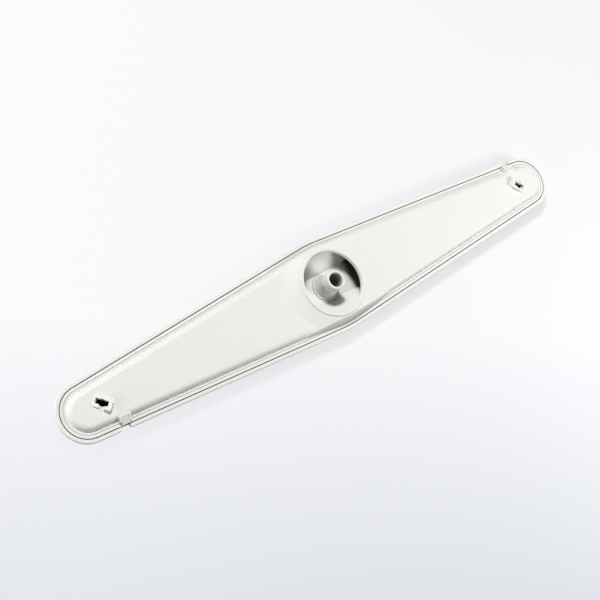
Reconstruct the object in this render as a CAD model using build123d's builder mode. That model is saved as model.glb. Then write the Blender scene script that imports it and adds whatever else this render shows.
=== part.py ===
"""Lower spray arm of a dishwasher: a moulded nozzle shell, a welded inlet cover and a bearing sleeve.

The arm lies with its spray side down. The spin axis is Z, the arms run along X, and Z is zero
on the surface that the foot ring stands on. All sizes are in millimetres and degrees.
"""
import math
import os

from build123d import *

# Plan of the arm at the seam between the two mouldings
seam_half_width = 34.1
end_centre_x = 215.0
seam_end_radius = 18.65
hub_arc_radius = 100.0

# Nozzle shell: rim and hull
shell_wall = 2.0
seam_gap = 0.7
rim_width = 2.8
rim_height = 4.0
rim_undercut = 1.8
rim_edge_chamfer = 0.6
rim_end_radius = 1.2
hull_depth = 4.5
hull_run = 5.0
keel_half_width = 12.3
keel_end_radius = 8.0
keel_end_setback = 9.0
keel_edge_radius = 3.0
keel_floor_margin = 1.3
hub_wall_reach = 30.0
hub_wall_width = 2.2
hub_wall_gap = 0.2

# Nozzle shell: foot ring and hub boss
foot_height = 3.0
foot_radius = 20.0
foot_wall = 2.5
boss_height = 10.5
boss_top_radius = 7.4
boss_base_radius = 9.6
boss_arc_radius = 22.5
boss_ring_radius = 10.6
boss_ring_height = 0.8

# Spray nozzles on the keel
nozzle_count = 5
nozzle_first_x = 46.0
nozzle_end_setback = 2.0
nozzle_stagger = 14.0
nozzle_length = 12.0
nozzle_width = 6.4
nozzle_height = 2.0
nozzle_draft = 14.0
nozzle_slot_length = 8.0
nozzle_slot_width = 1.8
nozzle_turn = 24.0

# Inlet cover
cover_wall = 2.0
flange_thickness = 2.0
flange_width = 4.3
weld_line_inset = 2.0
weld_line_width = 0.4
weld_line_depth = 0.35
slope_width = 1.4
plateau_height = 3.5
plateau_edge_radius = 4.0
dome_radius = 43.0
dome_height = 6.5
dome_draft_width = 1.9
dome_blend_radius = 66.0
dome_blend_depth = 3.0
inlet_radius = 24.0
lip_width = 3.0
lip_height = 7.4
lip_edge_chamfer = 0.7

# Drive jets near the ends of the cover
jet_setback = 11.4
jet_turn = -46.0
jet_pad_length = 12.8
jet_pad_width = 8.8
jet_low_height = 0.5
jet_high_height = 2.9
jet_slot_length = 8.6
jet_slot_width = 3.9
jet_hole_diameter = 5.0
jet_tilt = 34.0
jet_cut_depth = 6.0
jet_outlet_width = 4.0
jet_corner_radius = 1.5

# Side spouts at the edge of the cover
spout_setback_left = 20.6
spout_setback_right = 9.5
spout_width = 8.6
spout_lip_height = 1.0
spout_cheek_width = 1.2
spout_cheek_height = 0.5
spout_bore_width = 5.4
spout_bore_height = 1.5
rim_gap_width = 7.6
rim_gap_shift = 1.2

# Bearing sleeve
bore_radius = 5.5
spigot_wall = 0.9
collar_radius = 7.5
collar_foot_radius = 7.9
collar_height = 8.2
sleeve_edge_chamfer = 0.5
spigot_floor_gap = 0.3
press_clearance = 0.05

# Levels above the resting surface
keel_z = foot_height
floor_z = keel_z + shell_wall
rim_base_z = keel_z + hull_depth
seam_z = rim_base_z + rim_height
ledge_z = seam_z - flange_thickness
plateau_z = seam_z + plateau_height
dome_z = seam_z + dome_height
lip_z = seam_z + lip_height
boss_z = floor_z + boss_height
boss_ring_z = floor_z + boss_ring_height
sleeve_top_z = boss_z + collar_height
hub_wall_z = dome_z - cover_wall - hub_wall_gap

# Radii of the hub
spigot_radius = bore_radius + spigot_wall
socket_radius = spigot_radius + press_clearance
lip_outer_radius = inlet_radius + lip_width
dome_run = (dome_radius - lip_outer_radius) / (dome_height - plateau_height)
dome_foot_radius = lip_outer_radius + dome_run * dome_height
dome_fall = dome_z - plateau_z + dome_blend_depth
dome_arc_radius = math.hypot(dome_blend_radius - lip_outer_radius, dome_fall) ** 2 / (2 * dome_fall)

# Slope of the flanks in plan, which every parallel outline shares
flank_angle = math.atan2(seam_half_width, end_centre_x) - math.asin(
    seam_end_radius / math.hypot(end_centre_x, seam_half_width)
)
THROUGH = 4 * (sleeve_top_z - keel_z)


def flank_outline(half_width, centre_x, end_radius, hub_radius):
    """Draw a closed arm outline: round ends, straight tangent flanks and a wide arc at the hub."""
    angle = math.atan2(half_width, centre_x) - math.asin(end_radius / math.hypot(centre_x, half_width))
    run = hub_radius * math.tan(angle)
    near_x = run * math.cos(angle)
    near_y = half_width - run * math.sin(angle)
    far_x = centre_x + end_radius * math.sin(angle)
    far_y = end_radius * math.cos(angle)
    crest_y = half_width - hub_radius * (1 / math.cos(angle) - 1)
    tip_x = centre_x + end_radius
    Line((near_x, near_y), (far_x, far_y))
    ThreePointArc((far_x, far_y), (tip_x, 0), (far_x, -far_y))
    Line((far_x, -far_y), (near_x, -near_y))
    ThreePointArc((near_x, -near_y), (0, -crest_y), (-near_x, -near_y))
    Line((-near_x, -near_y), (-far_x, -far_y))
    ThreePointArc((-far_x, -far_y), (-tip_x, 0), (-far_x, far_y))
    Line((-far_x, far_y), (-near_x, near_y))
    ThreePointArc((-near_x, near_y), (0, crest_y), (near_x, near_y))


def seam_outline(growth):
    """Draw the seam's outline, moved outward by growth."""
    half_width = seam_half_width + growth / math.cos(flank_angle)
    flank_outline(half_width, end_centre_x, seam_end_radius + growth, hub_arc_radius + growth)


def keel_outline(growth):
    """Draw the keel's outline, moved outward by growth."""
    flank_outline(keel_half_width + growth, keel_end_x, keel_end_radius + growth, hub_arc_radius)


def channel_outline(z, growth=0):
    """Draw the outline of the water channel at height z, where its walls lean outward."""
    keel_outline(hull_run * (z - floor_z) / (ledge_z - floor_z) - keel_floor_margin + growth)


def edge_y(x, growth):
    """Half-width of the seam's outline at x on a straight flank, moved outward by growth."""
    return seam_half_width - abs(x) * math.tan(flank_angle) + growth / math.cos(flank_angle)


def spout_places(growth, shift=0):
    """Places beside the two spouts, at growth outward from the seam, where -Y points outward.

    The shift moves them along the flank towards the tips of the arms.
    """
    places = []
    for side, setback in ((-1, spout_setback_left), (1, spout_setback_right)):
        along = end_centre_x - setback + shift * math.cos(flank_angle)
        x = side * (along + growth * math.sin(flank_angle))
        y = side * (edge_y(along, 0) + growth * math.cos(flank_angle))
        places.append(Location((x, y, 0), (0, 0, 90 * (1 + side) - math.degrees(flank_angle))))
    return places


# Outlines that the two mouldings share, as distances from the seam
flange_edge = -seam_gap / 2
rim_inner = seam_gap / 2
rim_outer = rim_inner + rim_width
slope_foot = flange_edge - flange_width
slope_top = slope_foot - slope_width

jet_x = end_centre_x - jet_setback
keel_end_x = end_centre_x - keel_end_setback
nozzle_last_x = keel_end_x - nozzle_end_setback - nozzle_stagger
nozzle_pitch = (nozzle_last_x - nozzle_first_x) / (nozzle_count - 1)

# Plan of a gap in the rim: the rim ends are rounded towards the outside
with BuildSketch() as rim_gap:
    with BuildLine():
        gap_side = rim_gap_width / 2
        end_y = rim_end_radius - rim_outer
        right_end = RadiusArc((gap_side, end_y), (gap_side + rim_end_radius, -rim_outer), -rim_end_radius)
        left_end = RadiusArc((-gap_side - rim_end_radius, -rim_outer), (-gap_side, end_y), -rim_end_radius)
        Polyline(
            right_end @ 1,
            (gap_side + rim_end_radius, -rim_outer - rim_width),
            (-gap_side - rim_end_radius, -rim_outer - rim_width),
            left_end @ 0,
        )
        Polyline(left_end @ 1, (-gap_side, -rim_inner), (gap_side, -rim_inner), right_end @ 0)
    make_face()

# Walls of the channel that rise to the cover beside the inlet, before the channel is cut
with BuildPart() as hub_walls:
    with BuildSketch(Plane.XY.offset(ledge_z)):
        with BuildLine():
            channel_outline(ledge_z, hub_wall_width)
        make_face()
    with BuildSketch(Plane.XY.offset(hub_wall_z)):
        with BuildLine():
            channel_outline(hub_wall_z, hub_wall_width)
        make_face()
    loft(ruled=True)
    with BuildSketch(Plane.XZ):
        with BuildLine():
            Polyline(
                (0, ledge_z),
                (hub_wall_reach, ledge_z),
                (hub_wall_reach, hub_wall_z - (hub_wall_reach - lip_outer_radius) / dome_run),
                (lip_outer_radius, hub_wall_z),
                (0, hub_wall_z),
                close=True,
            )
        make_face()
    revolve(axis=Axis.Z, mode=Mode.INTERSECT)

# Nozzle shell: rim, channel hull and foot ring, hollowed out, then the hub boss, the nozzles and the rim gaps
with BuildPart() as nozzle_shell:
    with BuildSketch(Plane.XY.offset(rim_base_z)):
        with BuildLine():
            seam_outline(rim_outer)
        make_face()
    extrude(amount=rim_height)
    rim_bottom = nozzle_shell.faces().sort_by(Axis.Z)[0].outer_wire().edges()
    chamfer(rim_bottom, rim_undercut)
    rim_top = nozzle_shell.faces().sort_by(Axis.Z)[-1].outer_wire().edges()
    chamfer(rim_top, rim_edge_chamfer)
    with BuildSketch(Plane.XY.offset(rim_base_z)):
        with BuildLine():
            keel_outline(hull_run)
        make_face()
    with BuildSketch(Plane.XY.offset(keel_z)):
        with BuildLine():
            keel_outline(0)
        make_face()
    loft(ruled=True)
    keel_edges = nozzle_shell.faces().sort_by(Axis.Z)[0].outer_wire().edges()
    fillet(keel_edges, keel_edge_radius)
    with BuildSketch():
        Circle(foot_radius)
        Circle(foot_radius - foot_wall, mode=Mode.SUBTRACT)
    extrude(amount=rim_base_z)
    with BuildSketch(Plane.XY.offset(ledge_z)):
        with BuildLine():
            seam_outline(rim_inner)
        make_face()
    extrude(amount=THROUGH, mode=Mode.SUBTRACT)
    add(hub_walls.part)
    with BuildSketch(Plane.XY.offset(hub_wall_z)):
        with BuildLine():
            channel_outline(hub_wall_z)
        make_face()
    with BuildSketch(Plane.XY.offset(floor_z)):
        with BuildLine():
            channel_outline(floor_z)
        make_face()
    loft(ruled=True, mode=Mode.SUBTRACT)
    # The hub boss: a low ring, a hollowed flank and the socket of the sleeve
    with BuildSketch(Plane.XZ):
        with BuildLine():
            flank = RadiusArc((boss_base_radius, boss_ring_z), (boss_top_radius, boss_z), boss_arc_radius)
            Polyline(
                flank @ 1,
                (socket_radius, boss_z),
                (socket_radius, floor_z),
                (0, floor_z),
                (0, keel_z),
                (boss_ring_radius, keel_z),
                (boss_ring_radius, boss_ring_z),
                flank @ 0,
            )
        make_face()
    revolve(axis=Axis.Z)
    # Staggered rows of slotted spray nozzles, one row on each arm
    nozzle_places = []
    for side, row_start in ((1, nozzle_first_x), (-1, nozzle_first_x + nozzle_stagger)):
        for step in range(nozzle_count):
            turn = 90 + nozzle_turn * (-1) ** step
            nozzle_places.append(Location((side * (row_start + step * nozzle_pitch), 0), turn))
    with BuildSketch(Plane.XY.offset(keel_z)):
        with Locations(nozzle_places):
            SlotOverall(nozzle_length, nozzle_width)
    extrude(amount=-nozzle_height, taper=nozzle_draft)
    with BuildSketch(Plane.XY.offset(floor_z)):
        with Locations(nozzle_places):
            Rectangle(nozzle_slot_length, nozzle_slot_width)
    extrude(amount=-(floor_z - keel_z + nozzle_height), mode=Mode.SUBTRACT)
    # Gaps in the rim in front of the side spouts
    with BuildSketch(Plane.XY.offset(rim_base_z)):
        with Locations(spout_places(0, rim_gap_shift)):
            add(rim_gap.sketch)
    extrude(amount=rim_height, mode=Mode.SUBTRACT)

# Hub dome of the cover, which runs out softly onto the plateau and is held inside steep drafted flanks
with BuildPart() as hub_dome:
    with BuildSketch(Plane.XZ):
        with BuildLine():
            dome_end = (dome_blend_radius, plateau_z - dome_blend_depth)
            dome_top = RadiusArc(dome_end, (lip_outer_radius, dome_z), dome_arc_radius)
            Polyline(dome_top @ 1, (0, dome_z), (0, seam_z), (dome_blend_radius, seam_z), dome_top @ 0)
        make_face()
    revolve(axis=Axis.Z)
    with BuildSketch(Plane.XY.offset(seam_z)):
        with BuildLine():
            seam_outline(slope_foot)
        make_face()
    with BuildSketch(Plane.XY.offset(lip_z)):
        with BuildLine():
            seam_outline(slope_foot - dome_draft_width)
        make_face()
    loft(ruled=True, mode=Mode.INTERSECT)

# Hollow under the plateau and the dome
with BuildPart() as cover_hollow:
    with BuildSketch(Plane.XZ):
        with BuildLine():
            Polyline(
                (0, dome_z - cover_wall),
                (lip_outer_radius, dome_z - cover_wall),
                (dome_foot_radius, seam_z - cover_wall),
                (0, seam_z - cover_wall),
                close=True,
            )
        make_face()
    revolve(axis=Axis.Z)
    with BuildSketch(Plane.XY.offset(ledge_z)):
        with BuildLine():
            seam_outline(slope_foot - cover_wall)
        make_face()
    with BuildSketch(Plane.XY.offset(lip_z)):
        with BuildLine():
            seam_outline(slope_foot - cover_wall - dome_draft_width)
        make_face()
    loft(ruled=True, mode=Mode.INTERSECT)
    with BuildSketch(Plane.XY.offset(ledge_z)):
        with BuildLine():
            seam_outline(slope_foot - cover_wall)
        make_face()
    with BuildSketch(Plane.XY.offset(plateau_z - cover_wall)):
        with BuildLine():
            seam_outline(slope_top - cover_wall / 2)
        make_face()
    loft(ruled=True)

# Wedge of a drive jet: its top falls towards the tip of the arm
jet_plane = Plane(
    origin=(-jet_x, 0, plateau_z),
    x_dir=(math.cos(math.radians(jet_turn)), math.sin(math.radians(jet_turn)), 0),
    z_dir=(math.sin(math.radians(jet_turn)), -math.cos(math.radians(jet_turn)), 0),
)
with BuildPart() as jet_wedge:
    with BuildSketch(jet_plane):
        with BuildLine():
            Polyline(
                (-jet_pad_length / 2, -cover_wall / 2),
                (jet_pad_length / 2, -cover_wall / 2),
                (jet_pad_length / 2, jet_high_height),
                (-jet_pad_length / 2, jet_low_height),
                close=True,
            )
        make_face()
    extrude(amount=jet_pad_width / 2, both=True)
    fillet(jet_wedge.edges().filter_by(Axis.Z), jet_corner_radius)

# Opening of a drive jet: a slot across a round hole, leaning towards the low end of the wedge
lean = math.radians(jet_tilt)
jet_axis = Plane(
    origin=jet_plane.origin,
    x_dir=jet_plane.x_dir * math.cos(lean) + Vector(0, 0, math.sin(lean)),
    z_dir=Vector(0, 0, math.cos(lean)) - jet_plane.x_dir * math.sin(lean),
)
with BuildPart() as jet_slot:
    with BuildSketch(jet_axis):
        Rectangle(jet_slot_length, jet_slot_width)
        Circle(jet_hole_diameter / 2)
    extrude(amount=jet_cut_depth, both=True)

# Tongue of a side spout between two low cheeks, drawn from the seam outward along -Y
spout_plane = Plane(origin=(0, 0, 0), x_dir=(0, -1, 0), z_dir=(-1, 0, 0))
spout_lip_z = seam_z + spout_lip_height
cheek_start = slope_top + spout_cheek_width / 2
cheek_end = flange_edge - weld_line_inset
spout_fall = (plateau_z - spout_lip_z) / (flange_edge - slope_top)
cheek_end_z = plateau_z + spout_cheek_height - spout_fall * (cheek_end - slope_top)
with BuildPart() as side_spout:
    with BuildSketch(spout_plane):
        with BuildLine():
            Polyline(
                (slope_top - cover_wall, ledge_z),
                (flange_edge, ledge_z),
                (flange_edge, spout_lip_z),
                (slope_top, plateau_z),
                (slope_top - cover_wall, plateau_z),
                close=True,
            )
        make_face()
    extrude(amount=spout_width / 2 - spout_cheek_width, both=True)
    for cheek_side in (1, -1):
        with BuildSketch(spout_plane.offset(cheek_side * (spout_width - spout_cheek_width) / 2)):
            with BuildLine():
                Polyline(
                    (slope_top - cover_wall / 2, seam_z - flange_thickness / 2),
                    (cheek_end, seam_z - flange_thickness / 2),
                    (cheek_end, cheek_end_z),
                    (cheek_start, plateau_z + spout_cheek_height),
                    (slope_top - cover_wall / 2, plateau_z),
                    close=True,
                )
            make_face()
        extrude(amount=spout_cheek_width / 2, both=True)

# Inlet cover: flange, plateau, dome and lip, then the jets and spouts
with BuildPart() as inlet_cover:
    with BuildSketch(Plane.XY.offset(seam_z)):
        with BuildLine():
            seam_outline(slope_foot)
        make_face()
    with BuildSketch(Plane.XY.offset(plateau_z)):
        with BuildLine():
            seam_outline(slope_top)
        make_face()
    loft(ruled=True)
    plateau_edges = inlet_cover.faces().sort_by(Axis.Z)[-1].outer_wire().edges()
    fillet(plateau_edges, plateau_edge_radius)
    with BuildSketch(Plane.XY.offset(ledge_z)):
        with BuildLine():
            seam_outline(flange_edge)
        make_face()
    extrude(amount=flange_thickness)
    add(hub_dome.part)
    add(cover_hollow.part, mode=Mode.SUBTRACT)
    with BuildSketch(Plane.XY.offset(dome_z - cover_wall)):
        Circle(lip_outer_radius)
    extrude(amount=lip_z - dome_z + cover_wall)
    with BuildSketch(Plane.XY.offset(ledge_z)):
        Circle(inlet_radius)
    extrude(amount=THROUGH, mode=Mode.SUBTRACT)
    lip_edges = inlet_cover.faces().sort_by(Axis.Z)[-1].edges()
    chamfer(lip_edges, lip_edge_chamfer)
    # The fine line along the flange that the weld leaves
    with BuildSketch(Plane.XY.offset(seam_z)):
        with BuildLine():
            seam_outline(flange_edge - weld_line_inset)
        make_face()
        with BuildLine():
            seam_outline(flange_edge - weld_line_inset - weld_line_width)
        make_face(mode=Mode.SUBTRACT)
    extrude(amount=-weld_line_depth, mode=Mode.SUBTRACT)
    # Spouts with their bores, which the ledge of the shell closes from below
    with Locations(spout_places(0)):
        add(side_spout.part)
    with BuildSketch(Plane.XY.offset(ledge_z)):
        with Locations(spout_places((slope_top - cover_wall) / 2)):
            Rectangle(spout_bore_width, abs(slope_top - cover_wall))
    extrude(amount=spout_bore_height, mode=Mode.SUBTRACT)
    # Drive jets, each open through one side of its wedge
    with PolarLocations(0, 2):
        add(jet_wedge.part)
        add(jet_slot.part, mode=Mode.SUBTRACT)
    with BuildSketch(Plane.XY.offset(plateau_z)):
        with PolarLocations(0, 2):
            with Locations(Location((-jet_x, 0), jet_turn)):
                Rectangle(jet_outlet_width, jet_pad_width, align=(Align.CENTER, Align.MAX))
    extrude(amount=THROUGH, mode=Mode.SUBTRACT)

# Bearing sleeve: a spigot in the socket of the boss and a collar that sits on the boss
with BuildPart() as bearing_sleeve:
    with BuildSketch(Plane.XZ):
        with BuildLine():
            Polyline(
                (bore_radius, floor_z + spigot_floor_gap),
                (spigot_radius, floor_z + spigot_floor_gap),
                (spigot_radius, boss_z),
                (collar_foot_radius, boss_z),
                (collar_radius, sleeve_top_z),
                (bore_radius, sleeve_top_z),
                close=True,
            )
        make_face()
    revolve(axis=Axis.Z)
    collar_rim = bearing_sleeve.faces().sort_by(Axis.Z)[-1].edges()
    chamfer(collar_rim, sleeve_edge_chamfer)

os.makedirs("parts", exist_ok=True)
nozzle_shell.part.label = "nozzle_shell"
export_step(nozzle_shell.part, "parts/nozzle_shell.step")
inlet_cover.part.label = "inlet_cover"
export_step(inlet_cover.part, "parts/inlet_cover.step")
bearing_sleeve.part.label = "bearing_sleeve"
export_step(bearing_sleeve.part, "parts/bearing_sleeve.step")
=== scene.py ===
"""Looks of a dishwasher spray arm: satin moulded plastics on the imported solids, and a pale stage."""
import math

import bpy
import numpy as np
from bpy.props import FloatProperty, FloatVectorProperty, PointerProperty
from mathutils import Matrix, Vector


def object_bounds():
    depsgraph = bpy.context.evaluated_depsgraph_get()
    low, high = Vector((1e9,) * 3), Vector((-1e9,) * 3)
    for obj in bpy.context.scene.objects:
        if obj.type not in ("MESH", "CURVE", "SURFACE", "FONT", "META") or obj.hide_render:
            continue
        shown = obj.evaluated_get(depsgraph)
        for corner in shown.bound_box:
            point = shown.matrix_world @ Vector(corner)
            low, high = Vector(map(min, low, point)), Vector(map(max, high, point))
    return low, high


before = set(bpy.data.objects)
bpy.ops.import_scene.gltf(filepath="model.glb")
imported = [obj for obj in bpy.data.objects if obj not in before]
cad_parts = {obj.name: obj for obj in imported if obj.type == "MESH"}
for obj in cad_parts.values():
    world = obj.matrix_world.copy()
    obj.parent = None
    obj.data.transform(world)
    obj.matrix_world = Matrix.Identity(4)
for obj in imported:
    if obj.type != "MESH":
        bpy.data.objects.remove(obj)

bl_info = {
    "name": "Spray Arm Finish",
    "version": (1, 0, 0),
    "blender": (4, 5, 0),
    "location": "View3D > Sidebar > Spray Arm",
    "description": "Finishes the plastics of a spray arm and sets it on a studio stage",
    "category": "Object",
}

MILLIMETRE = 0.001
CAD_LOW, CAD_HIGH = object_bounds()

# Moulded surface: fine grain over long sink waves, mottled gloss, and a tint drawn along the arm
GRAIN_DEPTH = 0.003 * MILLIMETRE
GRAIN_DETAIL = 2.0
WAVE_LENGTH = 45 * MILLIMETRE
WAVE_DEPTH = 0.04 * MILLIMETRE
WAVE_DETAIL = 1.0
MOTTLE_SCALE = 160.0
MOTTLE_DETAIL = 4.0
MOTTLE_ROUGHNESS = 0.6
MELT_SCALE = (6.0, 22.0, 22.0)
MELT_DETAIL = 3.0
MELT_CHANGE = 0.04
MELT_TINT = (0.7, 0.66, 0.56, 1.0)
NOISE_RANGE = (0.3, 0.7)
GLOSS_SWING = 0.05
BUMP_STRENGTH = 0.6
PLASTIC_IOR = 1.49

# Painted shade, darkening crevices and the channel's floor: how open a place is, which way it faces,
# and how high it lies
SHADE_SAMPLES = 16
OPEN_RANGE = (0.1, 0.46)
CREVICE_FACING_RANGE = (-0.3, -0.05)
CREVICE_START = 3.2 * MILLIMETRE
CREVICE_PAINTED_SHADE_COLOUR = (0.012, 0.012, 0.013, 1.0)
# Painted shade on the channel's floor, darker with the distance along the arm from the inlet
CHANNEL_FACING_RANGE = (0.0, 0.3)
CHANNEL_BELOW = 0.3 * MILLIMETRE
CHANNEL_ABOVE = 0.5 * MILLIMETRE
CHANNEL_FADE = 2 * MILLIMETRE
CHANNEL_PAINTED_SHADE_COLOUR = (0.05, 0.048, 0.04, 1.0)

# Stage: directions on the floor, with the metres along them or from the middle where a change runs
# The floor's colour has a painted fall of light, from dim to lit along the first direction over its
# range.
LIT_DIRECTION = (0.45, 0.89, 0.0)
LIT_RANGE = (-0.25, -0.03)
RIGHT_DIRECTION = (0.91, -0.41, 0.0)
RIGHT_RANGE = (-0.2, 0.2)
BACKDROP_RANGE = (0.45, 2.0)
GLOW_RANGE = (0.35, 0.9)
FLOOR_RINGS = 12
FLOOR_SECTORS = 96
SKY_COLOUR = (0.97, 0.985, 1.0, 1.0)
SENSOR_WIDTH = 36.0

# Sockets of a Mix node that is set to colours
MIX_SHARE, MIX_FIRST, MIX_SECOND, MIX_RESULT = 0, 6, 7, 2


class SprayArmFinish(bpy.types.PropertyGroup):
    """Colours and surface values of the three plastics."""

    cover_colour: FloatVectorProperty(
        name="Cover colour", description="Body colour of the inlet cover", subtype="COLOR",
        size=3, min=0.0, max=1.0, default=(0.86, 0.85, 0.815),
    )
    shell_colour: FloatVectorProperty(
        name="Shell colour", description="Body colour of the nozzle shell", subtype="COLOR",
        size=3, min=0.0, max=1.0, default=(0.85, 0.845, 0.81),
    )
    sleeve_colour: FloatVectorProperty(
        name="Sleeve colour", description="Body colour of the bearing sleeve", subtype="COLOR",
        size=3, min=0.0, max=1.0, default=(0.86, 0.84, 0.83),
    )
    cover_roughness: FloatProperty(
        name="Cover roughness", description="Mean roughness of the satin cover", subtype="FACTOR",
        min=0.0, max=1.0, default=0.5,
    )
    shell_roughness: FloatProperty(
        name="Shell roughness", description="Mean roughness of the satin shell", subtype="FACTOR",
        min=0.0, max=1.0, default=0.52,
    )
    sleeve_roughness: FloatProperty(
        name="Sleeve roughness", description="Mean roughness of the bearing plastic",
        subtype="FACTOR", min=0.0, max=1.0, default=0.3,
    )
    grain_size: FloatProperty(
        name="Grain size", description="Spacing of the fine eroded mould grain", unit="LENGTH",
        min=0.0, default=0.3 * MILLIMETRE,
    )
    # The next three values set the painted shade in crevices and in the sleeve's bore: how far it
    # reaches and how dark it gets.
    crevice_reach: FloatProperty(
        name="Crevice reach", description="How near the walls of a crevice stand to darken it",
        unit="LENGTH", min=0.0, default=30 * MILLIMETRE,
    )
    crevice_painted_shade: FloatProperty(
        name="Crevice painted shade", description="How far the deepest crevices darken", subtype="FACTOR",
        min=0.0, max=1.0, default=0.92,
    )
    bore_painted_shade: FloatProperty(
        name="Bore painted shade", description="How far the bore of the sleeve darkens", subtype="FACTOR",
        min=0.0, max=1.0, default=0.68,
    )
    # The channel values set the painted shade on the channel's floor: its height, where it starts and
    # ends along the arm, and how dark it gets.
    channel_floor: FloatProperty(
        name="Channel floor", description="Height of the water channel's floor", unit="LENGTH",
        min=0.0, default=5 * MILLIMETRE,
    )
    channel_start: FloatProperty(
        name="Channel shade start",
        description="Distance from the spin axis where the channel begins to darken",
        unit="LENGTH", min=0.0, default=20 * MILLIMETRE,
    )
    channel_end: FloatProperty(
        name="Channel shade end",
        description="Distance from the spin axis where the channel is darkest",
        unit="LENGTH", min=0.0, default=27 * MILLIMETRE,
    )
    channel_painted_shade: FloatProperty(
        name="Channel shade", description="How far the channel's floor darkens", subtype="FACTOR",
        min=0.0, max=1.0, default=0.95,
    )


class SprayArmStage(bpy.types.PropertyGroup):
    """Camera, lamps and floor."""

    camera_place: FloatVectorProperty(
        name="Camera place", description="Where the camera stands", subtype="TRANSLATION",
        size=3, default=(-0.53229, -0.05775, 0.86412),
    )
    camera_aim: FloatVectorProperty(
        name="Camera aim", description="Point at the middle of the picture", subtype="TRANSLATION",
        size=3, default=(-0.02865, -0.0001, 0.0115),
    )
    camera_roll: FloatProperty(
        name="Camera roll", description="Turn of the camera about its line of sight",
        subtype="ANGLE", default=math.radians(54.75),
    )
    camera_lens: FloatProperty(
        name="Lens", description="Focal length in millimetres on a 36 mm square sensor",
        min=1.0, default=80.81,
    )
    key_direction: FloatVectorProperty(
        name="Key direction", description="From the hub towards the key lamp", subtype="DIRECTION",
        size=3, default=(-0.054, 0.613, 0.788),
    )
    key_distance: FloatProperty(
        name="Key distance", description="From the hub to the key lamp", unit="LENGTH", default=1.6,
    )
    key_size: FloatProperty(
        name="Key size", description="Diameter of the key lamp", unit="LENGTH", default=0.36,
    )
    key_power: FloatProperty(
        name="Key power", description="Power of the key lamp", unit="POWER", default=21.0,
    )
    sheen_place: FloatVectorProperty(
        name="Sheen lamp place", description="Where the square lamp beyond the right arm stands",
        subtype="TRANSLATION", size=3, default=(0.44, -0.42, 0.38),
    )
    sheen_aim: FloatVectorProperty(
        name="Sheen lamp aim", description="Point that the square lamp faces",
        subtype="TRANSLATION", size=3, default=(0.0, 0.0, 0.012),
    )
    sheen_size: FloatProperty(
        name="Sheen lamp size", description="Side of the square lamp", unit="LENGTH", default=0.25,
    )
    sheen_power: FloatProperty(
        name="Sheen lamp power", description="Power of the square lamp", unit="POWER", default=3.05,
    )
    low_place: FloatVectorProperty(
        name="Low lamp place", description="Where the low wide lamp beyond the left arm stands",
        subtype="TRANSLATION", size=3, default=(-0.73, 0.16, 0.17),
    )
    low_width: FloatProperty(
        name="Low lamp width", description="Long side of the low lamp", unit="LENGTH", default=0.6,
    )
    low_height: FloatProperty(
        name="Low lamp height", description="Short side of the low lamp", unit="LENGTH",
        default=0.22,
    )
    low_power: FloatProperty(
        name="Low lamp power", description="Power of the low lamp", unit="POWER", default=1.8,
    )
    sky_strength: FloatProperty(
        name="Sky strength", description="Even light from all round", min=0.0, default=0.03,
    )
    floor_radius: FloatProperty(
        name="Floor radius", description="Radius of the round floor", unit="LENGTH", default=4.0,
    )
    # The floor's colour runs from the dim side to the lit side as a painted fall of light.
    floor_near: FloatVectorProperty(
        name="Floor, lit side", description="Floor colour on the lit side, and the backdrop's",
        subtype="COLOR", size=3, min=0.0, max=1.0, default=(0.955, 0.962, 0.981),
    )
    floor_far: FloatVectorProperty(
        name="Floor, dim side", description="Floor colour on the dim side", subtype="COLOR",
        size=3, min=0.0, max=1.0, default=(0.752, 0.776, 0.815),
    )
    floor_glow: FloatProperty(
        name="Left floor glow",
        description="Share of the left floor that shows its colour without shadow",
        subtype="FACTOR", min=0.0, max=1.0, default=0.96,
    )
    floor_glow_right: FloatProperty(
        name="Right floor glow",
        description="Share of the right floor that shows its colour without shadow",
        subtype="FACTOR", min=0.0, max=1.0, default=0.68,
    )
    floor_paint: FloatProperty(
        name="Floor paint", description="Share of the floor's colour that its lit paint has",
        subtype="FACTOR", min=0.0, max=1.0, default=0.86,
    )
    contact_reach: FloatProperty(
        name="Contact reach", description="How far the floor shades towards the arm",
        unit="LENGTH", min=0.0, default=15 * MILLIMETRE,
    )


def add_node(tree, kind, links=(), **settings):
    """Add a node with its settings, feeding the listed inputs from a socket or a plain value."""
    node = tree.nodes.new(kind)
    for key, value in settings.items():
        setattr(node, key, value)
    for label, value in dict(links).items():
        if isinstance(value, bpy.types.NodeSocket):
            tree.links.new(value, node.inputs[label])
        else:
            node.inputs[label].default_value = value
    return node


def add_math(tree, operation, first, *second):
    """Add a maths node on one or two values, and return its result."""
    links = dict(enumerate((first, *second)))
    return add_node(tree, "ShaderNodeMath", links, operation=operation).outputs[0]


def add_range(tree, value, source, target, smooth=False):
    """Carry a value from one range to another, held at both ends, and return it."""
    links = {
        "Value": value, "From Min": source[0], "From Max": source[1],
        "To Min": target[0], "To Max": target[1],
    }
    step = "SMOOTHSTEP" if smooth else "LINEAR"
    return add_node(tree, "ShaderNodeMapRange", links, interpolation_type=step).outputs["Result"]


def add_noise(tree, place, scale, detail, roughness=0.5):
    """Add a noise texture at a place, and return its value."""
    links = {"Vector": place, "Scale": scale, "Detail": detail, "Roughness": roughness}
    return add_node(tree, "ShaderNodeTexNoise", links).outputs[0]


def add_openness(tree, reach):
    """Share of the view from a surface that no wall within reach takes up."""
    links = {"Distance": reach}
    return add_node(tree, "ShaderNodeAmbientOcclusion", links, samples=SHADE_SAMPLES).outputs["AO"]


def add_dot(tree, place, direction):
    """How far a place lies along a direction."""
    links = {0: place, 1: direction}
    return add_node(tree, "ShaderNodeVectorMath", links, operation="DOT_PRODUCT").outputs["Value"]


def split(tree, vector):
    """The X, Y and Z of a vector."""
    return add_node(tree, "ShaderNodeSeparateXYZ", {0: vector}).outputs


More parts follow.
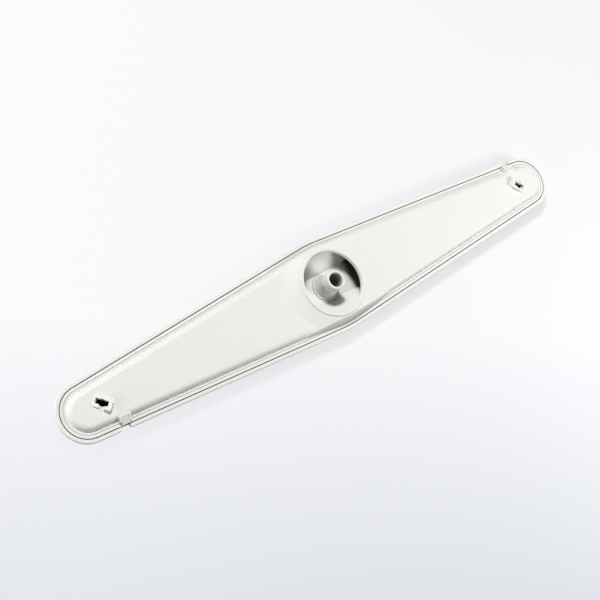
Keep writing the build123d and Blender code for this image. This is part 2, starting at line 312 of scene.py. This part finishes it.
def mix_colour(tree, share, first, second):
    """Mix a second colour into a first by a share, and return the result."""
    links = {MIX_SHARE: share, MIX_FIRST: first, MIX_SECOND: second}
    return add_node(tree, "ShaderNodeMix", links, data_type="RGBA").outputs[MIX_RESULT]


def new_group(name, inputs, outputs):
    """Start a shader node group with named float, vector or colour sockets."""
    kinds = {
        "float": "NodeSocketFloat", "vector": "NodeSocketVector", "colour": "NodeSocketColor",
    }
    tree = bpy.data.node_groups.new(name, "ShaderNodeTree")
    for label, kind, *default in inputs:
        socket = tree.interface.new_socket(label, in_out="INPUT", socket_type=kinds[kind])
        if default:
            socket.default_value = default[0]
    for label, kind in outputs:
        tree.interface.new_socket(label, in_out="OUTPUT", socket_type=kinds[kind])
    return tree, tree.nodes.new("NodeGroupInput").outputs, tree.nodes.new("NodeGroupOutput").inputs


def moulded_grain_group():
    """Fine eroded grain plus long shallow sink waves as one height in metres, and a mottle."""
    tree, entry, leave = new_group(
        "Moulded grain",
        [("Place", "vector"), ("Grain size", "float"), ("Grain depth", "float", GRAIN_DEPTH),
         ("Wave length", "float", WAVE_LENGTH), ("Wave depth", "float", WAVE_DEPTH)],
        [("Height", "float"), ("Mottle", "float")],
    )
    heights = []
    for size, depth, detail in (
        ("Grain size", "Grain depth", GRAIN_DETAIL), ("Wave length", "Wave depth", WAVE_DETAIL),
    ):
        scale = add_math(tree, "DIVIDE", 1.0, entry[size])
        noise = add_noise(tree, entry["Place"], scale, detail)
        heights.append(add_math(tree, "MULTIPLY", noise, entry[depth]))
    mottle = add_noise(tree, entry["Place"], MOTTLE_SCALE, MOTTLE_DETAIL, MOTTLE_ROUGHNESS)
    tree.links.new(add_math(tree, "ADD", *heights), leave["Height"])
    tree.links.new(mottle, leave["Mottle"])
    return tree


def melt_flow_group():
    """Slow tint of the melt: wide clouds drawn out along the arm, between two close colours."""
    tree, entry, leave = new_group(
        "Melt flow",
        [("Place", "vector"), ("Colour", "colour"), ("Change", "float", MELT_CHANGE)],
        [("Colour", "colour")],
    )
    links = {0: entry["Place"], 1: MELT_SCALE}
    drawn = add_node(tree, "ShaderNodeVectorMath", links, operation="MULTIPLY").outputs[0]
    cloud = add_range(tree, add_noise(tree, drawn, 1.0, MELT_DETAIL), NOISE_RANGE, (0.0, 1.0))
    share = add_math(tree, "MULTIPLY", cloud, entry["Change"])
    tree.links.new(mix_colour(tree, share, entry["Colour"], MELT_TINT), leave["Colour"])
    return tree


def painted_crevice_shade_group():
    """Paints shade into a colour where nearby walls close in on it, as inside the inlet, bore and
    jets.

    Faces that look down and the feet below the start height keep their colour, so that what the arm
    lies on never paints shade on the spray side.
    """
    tree, entry, leave = new_group(
        "Painted crevice shade",
        [("Place", "vector"), ("Facing", "vector"), ("Colour", "colour"),
         ("Reach", "float"), ("Depth", "float"), ("Start height", "float", CREVICE_START)],
        [("Colour", "colour")],
    )
    height = split(tree, entry["Place"])["Z"]
    above = add_math(tree, "GREATER_THAN", height, entry["Start height"])
    facing = split(tree, entry["Facing"])["Z"]
    upward = add_range(tree, facing, CREVICE_FACING_RANGE, (0.0, 1.0))
    inside = add_math(tree, "MULTIPLY", above, upward)
    openness = add_openness(tree, entry["Reach"])
    closed = add_range(tree, openness, OPEN_RANGE, (1.0, 0.0), smooth=True)
    limit = add_math(tree, "MULTIPLY", inside, entry["Depth"])
    share = add_math(tree, "MULTIPLY", closed, limit)
    tree.links.new(mix_colour(tree, share, entry["Colour"], CREVICE_PAINTED_SHADE_COLOUR), leave["Colour"])
    return tree


def paint_shade_on_channel(tree, colour, where, finish):
    """Paint shade on the channel's floor, darker with the distance along the arm, and return the
    colour.

    The painted shade fades out up the walls. Only faces that look up take it, so the outside of the
    hull keeps its colour.
    """
    place = split(tree, where.outputs["Object"])
    facing = split(tree, where.outputs["Normal"])["Z"]
    inward = add_range(
        tree, add_math(tree, "ABSOLUTE", place["X"]),
        (finish.channel_start, finish.channel_end), (0.0, finish.channel_painted_shade), smooth=True,
    )
    fade_start = finish.channel_floor + CHANNEL_ABOVE
    low = add_range(tree, place["Z"], (fade_start, fade_start + CHANNEL_FADE), (1.0, 0.0))
    above = add_math(tree, "GREATER_THAN", place["Z"], finish.channel_floor - CHANNEL_BELOW)
    upward = add_range(tree, facing, CHANNEL_FACING_RANGE, (0.0, 1.0))
    share = inward
    for mask in (low, above, upward):
        share = add_math(tree, "MULTIPLY", share, mask)
    return mix_colour(tree, share, colour, CHANNEL_PAINTED_SHADE_COLOUR)


def shared_groups():
    """The node groups that all plastics use, built once."""
    makers = {
        "Moulded grain": moulded_grain_group,
        "Melt flow": melt_flow_group,
        "Painted crevice shade": painted_crevice_shade_group,
    }
    return [bpy.data.node_groups.get(name) or make() for name, make in makers.items()]


def plastic_material(name, finish, colour, roughness, depth, channel=False):
    """Satin moulded plastic: tinted melt, painted shade in crevices and, on the shell, along the
    channel, mottled gloss and a fine grain.
    """
    grain_tree, flow_tree, crevice_tree = shared_groups()
    material = bpy.data.materials.new(name)
    material.use_nodes = True
    tree = material.node_tree
    shader = tree.nodes["Principled BSDF"]
    where = add_node(tree, "ShaderNodeTexCoord")
    place = where.outputs["Object"]
    grain = add_node(
        tree, "ShaderNodeGroup", {"Place": place, "Grain size": finish.grain_size},
        node_tree=grain_tree,
    )
    flow = add_node(
        tree, "ShaderNodeGroup", {"Place": place, "Colour": (*colour, 1.0)}, node_tree=flow_tree
    )
    crevice = add_node(
        tree, "ShaderNodeGroup",
        {"Place": place, "Facing": where.outputs["Normal"], "Colour": flow.outputs["Colour"],
         "Reach": finish.crevice_reach, "Depth": depth},
        node_tree=crevice_tree,
    )
    # The body colour carries painted shade in crevices, and on the shell painted shade along the
    # channel's floor.
    body = crevice.outputs["Colour"]
    if channel:
        body = paint_shade_on_channel(tree, body, where, finish)
    gloss = add_range(
        tree, grain.outputs["Mottle"], NOISE_RANGE,
        (roughness - GLOSS_SWING, roughness + GLOSS_SWING),
    )
    bump = add_node(
        tree, "ShaderNodeBump",
        {"Height": grain.outputs["Height"], "Strength": BUMP_STRENGTH, "Distance": 1.0},
    )
    tree.links.new(body, shader.inputs["Base Color"])
    tree.links.new(gloss, shader.inputs["Roughness"])
    tree.links.new(bump.outputs["Normal"], shader.inputs["Normal"])
    shader.inputs["IOR"].default_value = PLASTIC_IOR
    return material


def dress(node_name, material):
    """Put a material on every slot of a CAD node."""
    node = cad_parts[node_name]
    if not node.material_slots:
        node.data.materials.append(material)
    for holder in node.material_slots:
        holder.material = material


class SPRAYARM_OT_finish_shell(bpy.types.Operator):
    """Give the nozzle shell its satin plastic"""

    bl_idname = "spray_arm.finish_shell"
    bl_label = "Finish Nozzle Shell"

    def execute(self, context):
        finish = context.scene.spray_arm_finish
        material = plastic_material(
            "Spray side plastic", finish, finish.shell_colour, finish.shell_roughness,
            finish.crevice_painted_shade, channel=True,
        )
        dress("nozzle_shell", material)
        return {"FINISHED"}


class SPRAYARM_OT_finish_cover(bpy.types.Operator):
    """Give the inlet cover its satin plastic"""

    bl_idname = "spray_arm.finish_cover"
    bl_label = "Finish Inlet Cover"

    def execute(self, context):
        finish = context.scene.spray_arm_finish
        material = plastic_material(
            "Inlet side plastic", finish, finish.cover_colour, finish.cover_roughness,
            finish.crevice_painted_shade,
        )
        dress("inlet_cover", material)
        return {"FINISHED"}


class SPRAYARM_OT_finish_sleeve(bpy.types.Operator):
    """Give the bearing sleeve its smooth bearing plastic"""

    bl_idname = "spray_arm.finish_sleeve"
    bl_label = "Finish Bearing Sleeve"

    def execute(self, context):
        finish = context.scene.spray_arm_finish
        material = plastic_material(
            "Bearing plastic", finish, finish.sleeve_colour, finish.sleeve_roughness,
            finish.bore_painted_shade,
        )
        dress("bearing_sleeve", material)
        return {"FINISHED"}


def disc_mesh(name, radius, rings, sectors):
    """A flat disc around a middle point.

    Ring i lies at radius * i / rings, and sector j at the angle 2 pi j / sectors.
    """
    reach = radius * np.arange(1, rings + 1) / rings
    turn = 2 * np.pi * np.arange(sectors) / sectors
    grid = np.stack([np.outer(reach, np.cos(turn)), np.outer(reach, np.sin(turn))], axis=-1)
    points = np.zeros((1 + rings * sectors, 3))
    points[1:, :2] = grid.reshape(-1, 2)
    step = np.arange(sectors)
    after = (step + 1) % sectors
    fans = np.stack([np.zeros(sectors, int), 1 + step, 1 + after], axis=1)
    start = 1 + sectors * np.arange(rings - 1)[:, None]
    quads = np.stack(
        [start + step, start + sectors + step, start + sectors + after, start + after], axis=-1
    ).reshape(-1, 4)
    mesh = bpy.data.meshes.new(name)
    mesh.from_pydata(points.tolist(), [], fans.tolist() + quads.tolist())
    mesh.update()
    return mesh


def floor_tone(tree, place, distance, stage):
    """The floor's colour, with a painted fall of light from dim to lit along one direction, and the
    backdrop's colour far out.
    """
    lit = add_range(tree, add_dot(tree, place, LIT_DIRECTION), LIT_RANGE, (0.0, 1.0))
    beyond = add_range(tree, distance, BACKDROP_RANGE, (0.0, 1.0), smooth=True)
    share = add_math(tree, "MAXIMUM", lit, beyond)
    return mix_colour(tree, share, (*stage.floor_far, 1.0), (*stage.floor_near, 1.0))


def floor_glow(tree, place, distance, stage):
    """Share of the floor that glows in its tone, painted fall of light included, without shadow.

    It falls from left to right and, on the right, close to the arm. Far out it is the whole.
    """
    right = add_range(tree, add_dot(tree, place, RIGHT_DIRECTION), RIGHT_RANGE, (0.0, 1.0))
    level = add_range(tree, right, (0.0, 1.0), (stage.floor_glow, stage.floor_glow_right))
    contact = add_range(tree, right, (0.0, 1.0), (1.0, add_openness(tree, stage.contact_reach)))
    near = add_math(tree, "MULTIPLY", level, contact)
    return add_range(tree, distance, GLOW_RANGE, (near, 1.0))


def floor_material(stage):
    """Pale floor: where it is seen it mostly glows in its colour, which holds a painted fall of light,
    and the rest is lit paint.
    """
    material = bpy.data.materials.new("Studio floor")
    material.use_nodes = True
    tree = material.node_tree
    tree.nodes.clear()
    place = add_node(tree, "ShaderNodeTexCoord").outputs["Object"]
    length = add_node(tree, "ShaderNodeVectorMath", {0: place}, operation="LENGTH")
    distance = length.outputs["Value"]
    tone = floor_tone(tree, place, distance, stage)
    rays = add_node(tree, "ShaderNodeLightPath").outputs
    seen = rays["Is Camera Ray"]
    for ray in ("Is Glossy Ray", "Is Transmission Ray"):
        seen = add_math(tree, "MAXIMUM", seen, rays[ray])
    glow = add_math(tree, "MULTIPLY", seen, floor_glow(tree, place, distance, stage))
    links = {0: tone, "Scale": stage.floor_paint}
    paint = add_node(tree, "ShaderNodeVectorMath", links, operation="SCALE").outputs[0]
    matte = add_node(tree, "ShaderNodeBsdfDiffuse", {"Color": paint}).outputs[0]
    light = add_node(tree, "ShaderNodeEmission", {"Color": tone, "Strength": 1.0}).outputs[0]
    blend = add_node(tree, "ShaderNodeMixShader", {0: glow, 1: matte, 2: light}).outputs[0]
    add_node(tree, "ShaderNodeOutputMaterial", {"Surface": blend})
    return material


def studio_world(stage):
    """Even soft light from all round, and a plain pale backdrop past the floor."""
    world = bpy.data.worlds.new("Studio sky")
    world.use_nodes = True
    tree = world.node_tree
    tree.nodes.clear()
    sky, backdrop = (
        add_node(tree, "ShaderNodeBackground", {"Color": colour, "Strength": strength}).outputs[0]
        for colour, strength in (
            (SKY_COLOUR, stage.sky_strength), ((*stage.floor_near, 1.0), 1.0),
        )
    )
    seen = add_node(tree, "ShaderNodeLightPath").outputs["Is Camera Ray"]
    blend = add_node(tree, "ShaderNodeMixShader", {0: seen, 1: sky, 2: backdrop}).outputs[0]
    add_node(tree, "ShaderNodeOutputWorld", {"Surface": blend})
    return world


def add_lamp(name, place, aim, power, shape, size, height=0.0):
    """An area lamp at a place, facing a point. Height is the short side of a rectangle."""
    lamp = bpy.data.lights.new(name, "AREA")
    lamp.shape = shape
    lamp.size = size
    lamp.size_y = height
    lamp.energy = power
    holder = bpy.data.objects.new(name, lamp)
    holder.location = place
    holder.rotation_euler = (Vector(aim) - Vector(place)).to_track_quat("-Z", "Y").to_euler()
    bpy.context.scene.collection.objects.link(holder)


def add_camera(stage):
    """A camera at the photograph's place, turned about its line of sight by the roll."""
    data = bpy.data.cameras.new("Camera")
    data.sensor_width = SENSOR_WIDTH
    data.lens = stage.camera_lens
    place, aim = Vector(stage.camera_place), Vector(stage.camera_aim)
    ahead = (aim - place).normalized()
    side = ahead.cross(Vector((0, 0, 1))).normalized()
    up = side.cross(ahead)
    turn_cos, turn_sin = math.cos(stage.camera_roll), math.sin(stage.camera_roll)
    right = turn_cos * side + turn_sin * up
    top = turn_cos * up - turn_sin * side
    pose = Matrix((right, top, -ahead)).transposed().to_4x4()
    pose.translation = place
    holder = bpy.data.objects.new("Camera", data)
    holder.matrix_world = pose
    bpy.context.scene.collection.objects.link(holder)
    bpy.context.scene.camera = holder


class SPRAYARM_OT_build_stage(bpy.types.Operator):
    """Set the arm on a pale floor under soft light, with a camera at the photograph's angle"""

    bl_idname = "spray_arm.build_stage"
    bl_label = "Build Stage"

    def execute(self, context):
        stage = context.scene.spray_arm_stage
        disc = disc_mesh("Studio_floor", stage.floor_radius, FLOOR_RINGS, FLOOR_SECTORS)
        floor = bpy.data.objects.new("Studio_floor", disc)
        floor.data.materials.append(floor_material(stage))
        context.scene.collection.objects.link(floor)
        context.scene.world = studio_world(stage)
        hub = Vector((0, 0, CAD_HIGH.z / 2))
        key_place = hub + stage.key_distance * Vector(stage.key_direction).normalized()
        add_lamp("Key", key_place, hub, stage.key_power, "DISK", stage.key_size)
        add_lamp(
            "Sheen", stage.sheen_place, stage.sheen_aim, stage.sheen_power,
            "SQUARE", stage.sheen_size,
        )
        add_lamp(
            "Low", stage.low_place, hub, stage.low_power,
            "RECTANGLE", stage.low_width, stage.low_height,
        )
        add_camera(stage)
        context.scene.view_settings.view_transform = "Standard"
        return {"FINISHED"}


class SPRAYARM_PT_panel(bpy.types.Panel):
    """Lists the finishing steps of the spray arm"""

    bl_idname = "SPRAYARM_PT_panel"
    bl_label = "Spray Arm"
    bl_space_type = "VIEW_3D"
    bl_region_type = "UI"
    bl_category = "Spray Arm"

    def draw(self, context):
        for operator in OPERATORS:
            self.layout.operator(operator.bl_idname)


OPERATORS = (
    SPRAYARM_OT_finish_shell,
    SPRAYARM_OT_finish_cover,
    SPRAYARM_OT_finish_sleeve,
    SPRAYARM_OT_build_stage,
)
CLASSES = (SprayArmFinish, SprayArmStage, *OPERATORS, SPRAYARM_PT_panel)


def register():
    """Register the classes and hang their values on the scene."""
    for item in CLASSES:
        bpy.utils.register_class(item)
    bpy.types.Scene.spray_arm_finish = PointerProperty(type=SprayArmFinish)
    bpy.types.Scene.spray_arm_stage = PointerProperty(type=SprayArmStage)


def unregister():
    """Undo what register did, in the opposite order."""
    del bpy.types.Scene.spray_arm_stage
    del bpy.types.Scene.spray_arm_finish
    for item in reversed(CLASSES):
        bpy.utils.unregister_class(item)


def main():
    """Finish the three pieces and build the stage."""
    register()
    bpy.ops.spray_arm.finish_shell()
    bpy.ops.spray_arm.finish_cover()
    bpy.ops.spray_arm.finish_sleeve()
    bpy.ops.spray_arm.build_stage()


if __name__ == "__main__":
    main()
